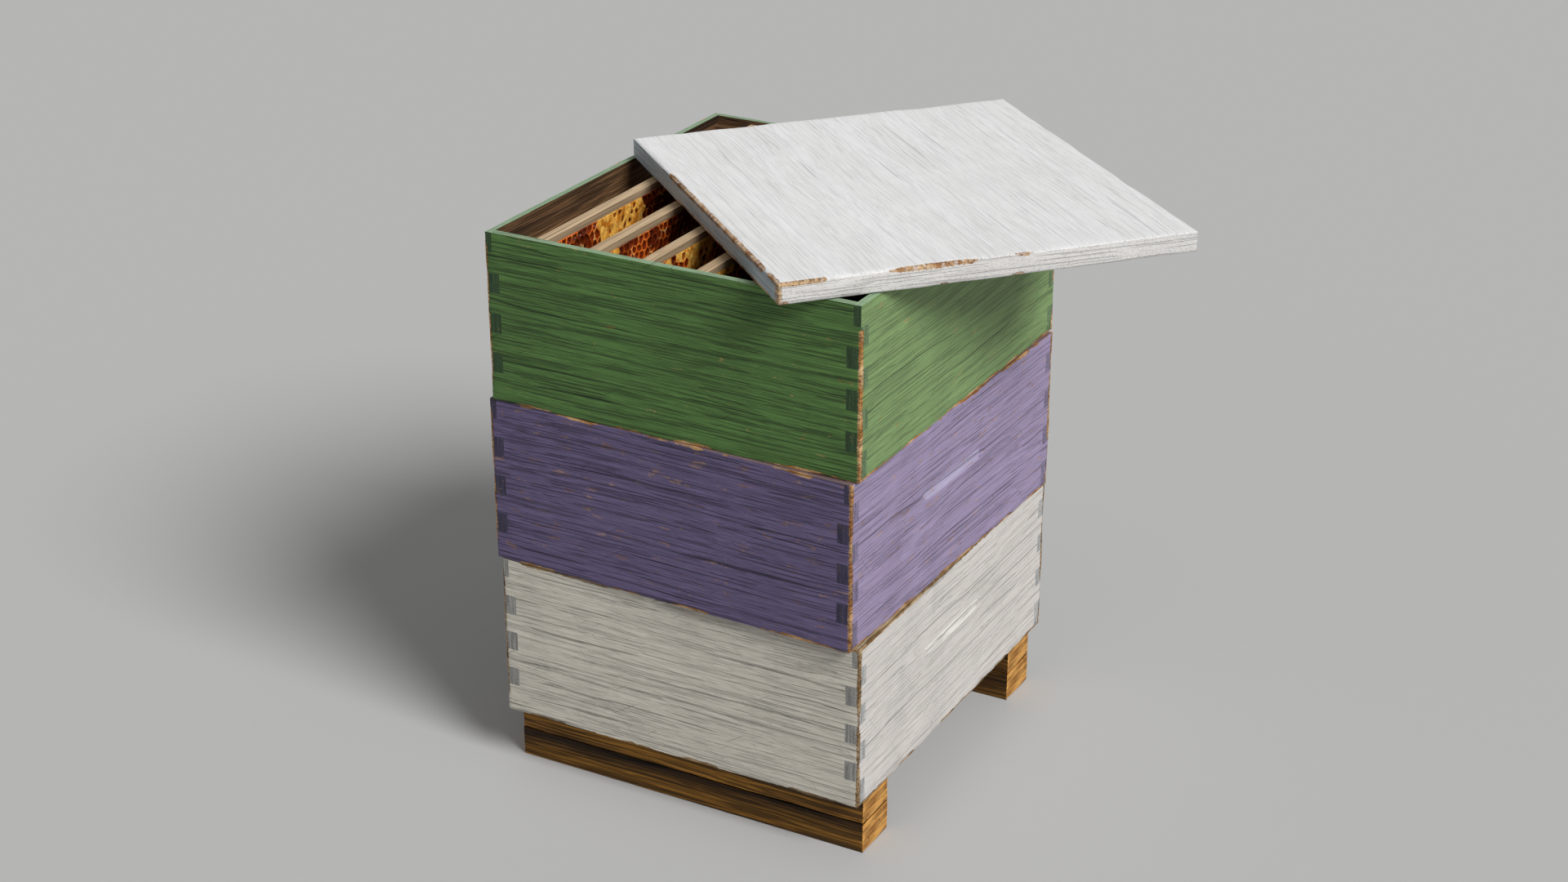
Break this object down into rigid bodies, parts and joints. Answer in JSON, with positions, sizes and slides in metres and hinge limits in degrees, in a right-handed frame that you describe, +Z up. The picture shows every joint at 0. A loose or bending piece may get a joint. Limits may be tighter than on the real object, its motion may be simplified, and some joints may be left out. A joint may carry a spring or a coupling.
{
  "type": "beehive",
  "caption": "Stacked wooden beehive with loose finger-jointed boxes, hanging frames of comb, a loose flat lid and timber runners underneath.",
  "frame": {"origin": "at ground level, midway between the two runners and under the middle of the lowest box", "axes": "+Z up, -Y towards the front of the hive, +X along the runners to the side with the overhanging lid"},
  "size_m": [0.7206, 0.7026, 0.7041],
  "materials": {
    "green_paint": "matte, weathered green paint over bare wood",
    "purple_paint": "matte, weathered purple paint over bare wood",
    "white_paint": "matte, weathered off-white paint over bare wood",
    "lid_paint": "matte, weathered white paint over bare wood",
    "runner_wood": "oiled golden brown softwood",
    "floor_ply": "bare plywood",
    "frame_wood": "bare pale pine",
    "comb_wax": "glossy honey and wax",
    "screw_steel": "zinc plated"
  },
  "bodies": {
    "stand": {"front_runner_lower_plank": "runner_wood", "front_runner_upper_plank": "runner_wood", "rear_runner_lower_plank": "runner_wood", "rear_runner_upper_plank": "runner_wood", "runner_screws": "screw_steel", "floor_panel": "floor_ply"},
    "bottom_box": {"bottom_box_front": "white_paint", "bottom_box_back": "white_paint", "bottom_box_left": "white_paint", "bottom_box_right": "white_paint"},
    "bottom_frame_1": {"bottom_frame_1": "frame_wood", "bottom_comb_1": "comb_wax"},
    "bottom_frame_2": {"bottom_frame_2": "frame_wood", "bottom_comb_2": "comb_wax"},
    "bottom_frame_3": {"bottom_frame_3": "frame_wood", "bottom_comb_3": "comb_wax"},
    "bottom_frame_4": {"bottom_frame_4": "frame_wood", "bottom_comb_4": "comb_wax"},
    "bottom_frame_5": {"bottom_frame_5": "frame_wood", "bottom_comb_5": "comb_wax"},
    "bottom_frame_6": {"bottom_frame_6": "frame_wood", "bottom_comb_6": "comb_wax"},
    "middle_box": {"middle_box_front": "purple_paint", "middle_box_back": "purple_paint", "middle_box_left": "purple_paint", "middle_box_right": "purple_paint"},
    "middle_frame_1": {"middle_frame_1": "frame_wood", "middle_comb_1": "comb_wax"},
    "middle_frame_2": {"middle_frame_2": "frame_wood", "middle_comb_2": "comb_wax"},
    "middle_frame_3": {"middle_frame_3": "frame_wood", "middle_comb_3": "comb_wax"},
    "middle_frame_4": {"middle_frame_4": "frame_wood", "middle_comb_4": "comb_wax"},
    "middle_frame_5": {"middle_frame_5": "frame_wood", "middle_comb_5": "comb_wax"},
    "middle_frame_6": {"middle_frame_6": "frame_wood", "middle_comb_6": "comb_wax"},
    "top_box": {"top_box_front": "green_paint", "top_box_back": "green_paint", "top_box_left": "green_paint", "top_box_right": "green_paint"},
    "top_frame_1": {"top_frame_1": "frame_wood", "top_comb_1": "comb_wax"},
    "top_frame_2": {"top_frame_2": "frame_wood", "top_comb_2": "comb_wax"},
    "top_frame_3": {"top_frame_3": "frame_wood", "top_comb_3": "comb_wax"},
    "top_frame_4": {"top_frame_4": "frame_wood", "top_comb_4": "comb_wax"},
    "top_frame_5": {"top_frame_5": "frame_wood", "top_comb_5": "comb_wax"},
    "top_frame_6": {"top_frame_6": "frame_wood", "top_comb_6": "comb_wax"},
    "lid": {"lid": "lid_paint"}
  },
  "joints": [
    {"name": "bottom_box_lift", "type": "slide", "parent": "stand", "child": "bottom_box", "axis": [0, 0, 1], "range_m": [0, 0.3125]},
    {"name": "middle_box_lift", "type": "slide", "parent": "bottom_box", "child": "middle_box", "axis": [0, 0, 1], "range_m": [0, 0.3125]},
    {"name": "top_box_lift", "type": "slide", "parent": "middle_box", "child": "top_box", "axis": [0, 0, 1], "range_m": [0, 0.3125]},
    {"name": "lid_lift", "type": "slide", "parent": "top_box", "child": "lid", "axis": [0, 0, 1], "range_m": [0, 0.3125]},
    {"name": "bottom_frame_1_lift", "type": "slide", "parent": "bottom_box", "child": "bottom_frame_1", "axis": [0, 0, 1], "range_m": [0, 0.25]},
    {"name": "bottom_frame_2_lift", "type": "slide", "parent": "bottom_box", "child": "bottom_frame_2", "axis": [0, 0, 1], "range_m": [0, 0.25]},
    {"name": "bottom_frame_3_lift", "type": "slide", "parent": "bottom_box", "child": "bottom_frame_3", "axis": [0, 0, 1], "range_m": [0, 0.25]},
    {"name": "bottom_frame_4_lift", "type": "slide", "parent": "bottom_box", "child": "bottom_frame_4", "axis": [0, 0, 1], "range_m": [0, 0.25]},
    {"name": "bottom_frame_5_lift", "type": "slide", "parent": "bottom_box", "child": "bottom_frame_5", "axis": [0, 0, 1], "range_m": [0, 0.25]},
    {"name": "bottom_frame_6_lift", "type": "slide", "parent": "bottom_box", "child": "bottom_frame_6", "axis": [0, 0, 1], "range_m": [0, 0.25]},
    {"name": "middle_frame_1_lift", "type": "slide", "parent": "middle_box", "child": "middle_frame_1", "axis": [0, 0, 1], "range_m": [0, 0.25]},
    {"name": "middle_frame_2_lift", "type": "slide", "parent": "middle_box", "child": "middle_frame_2", "axis": [0, 0, 1], "range_m": [0, 0.25]},
    {"name": "middle_frame_3_lift", "type": "slide", "parent": "middle_box", "child": "middle_frame_3", "axis": [0, 0, 1], "range_m": [0, 0.25]},
    {"name": "middle_frame_4_lift", "type": "slide", "parent": "middle_box", "child": "middle_frame_4", "axis": [0, 0, 1], "range_m": [0, 0.25]},
    {"name": "middle_frame_5_lift", "type": "slide", "parent": "middle_box", "child": "middle_frame_5", "axis": [0, 0, 1], "range_m": [0, 0.25]},
    {"name": "middle_frame_6_lift", "type": "slide", "parent": "middle_box", "child": "middle_frame_6", "axis": [0, 0, 1], "range_m": [0, 0.25]},
    {"name": "top_frame_1_lift", "type": "slide", "parent": "top_box", "child": "top_frame_1", "axis": [0, 0, 1], "range_m": [0, 0.25]},
    {"name": "top_frame_2_lift", "type": "slide", "parent": "top_box", "child": "top_frame_2", "axis": [0, 0, 1], "range_m": [0, 0.25]},
    {"name": "top_frame_3_lift", "type": "slide", "parent": "top_box", "child": "top_frame_3", "axis": [0, 0, 1], "range_m": [0, 0.25]},
    {"name": "top_frame_4_lift", "type": "slide", "parent": "top_box", "child": "top_frame_4", "axis": [0, 0, 1], "range_m": [0, 0.25]},
    {"name": "top_frame_5_lift", "type": "slide", "parent": "top_box", "child": "top_frame_5", "axis": [0, 0, 1], "range_m": [0, 0.25]},
    {"name": "top_frame_6_lift", "type": "slide", "parent": "top_box", "child": "top_frame_6", "axis": [0, 0, 1], "range_m": [0, 0.25]}
  ],
  "couplings": [
    {"joint": "bottom_frame_1_lift", "follows": "middle_box_lift", "ratio": 0.8},
    {"joint": "bottom_frame_2_lift", "follows": "middle_box_lift", "ratio": 0.8},
    {"joint": "bottom_frame_3_lift", "follows": "middle_box_lift", "ratio": 0.8},
    {"joint": "bottom_frame_4_lift", "follows": "middle_box_lift", "ratio": 0.8},
    {"joint": "bottom_frame_5_lift", "follows": "middle_box_lift", "ratio": 0.8},
    {"joint": "bottom_frame_6_lift", "follows": "middle_box_lift", "ratio": 0.8},
    {"joint": "middle_frame_1_lift", "follows": "top_box_lift", "ratio": 0.8},
    {"joint": "middle_frame_2_lift", "follows": "top_box_lift", "ratio": 0.8},
    {"joint": "middle_frame_3_lift", "follows": "top_box_lift", "ratio": 0.8},
    {"joint": "middle_frame_4_lift", "follows": "top_box_lift", "ratio": 0.8},
    {"joint": "middle_frame_5_lift", "follows": "top_box_lift", "ratio": 0.8},
    {"joint": "middle_frame_6_lift", "follows": "top_box_lift", "ratio": 0.8},
    {"joint": "top_frame_1_lift", "follows": "lid_lift", "ratio": 0.8},
    {"joint": "top_frame_2_lift", "follows": "lid_lift", "ratio": 0.8},
    {"joint": "top_frame_3_lift", "follows": "lid_lift", "ratio": 0.8},
    {"joint": "top_frame_4_lift", "follows": "lid_lift", "ratio": 0.8},
    {"joint": "top_frame_5_lift", "follows": "lid_lift", "ratio": 0.8},
    {"joint": "top_frame_6_lift", "follows": "lid_lift", "ratio": 0.8}
  ]
}
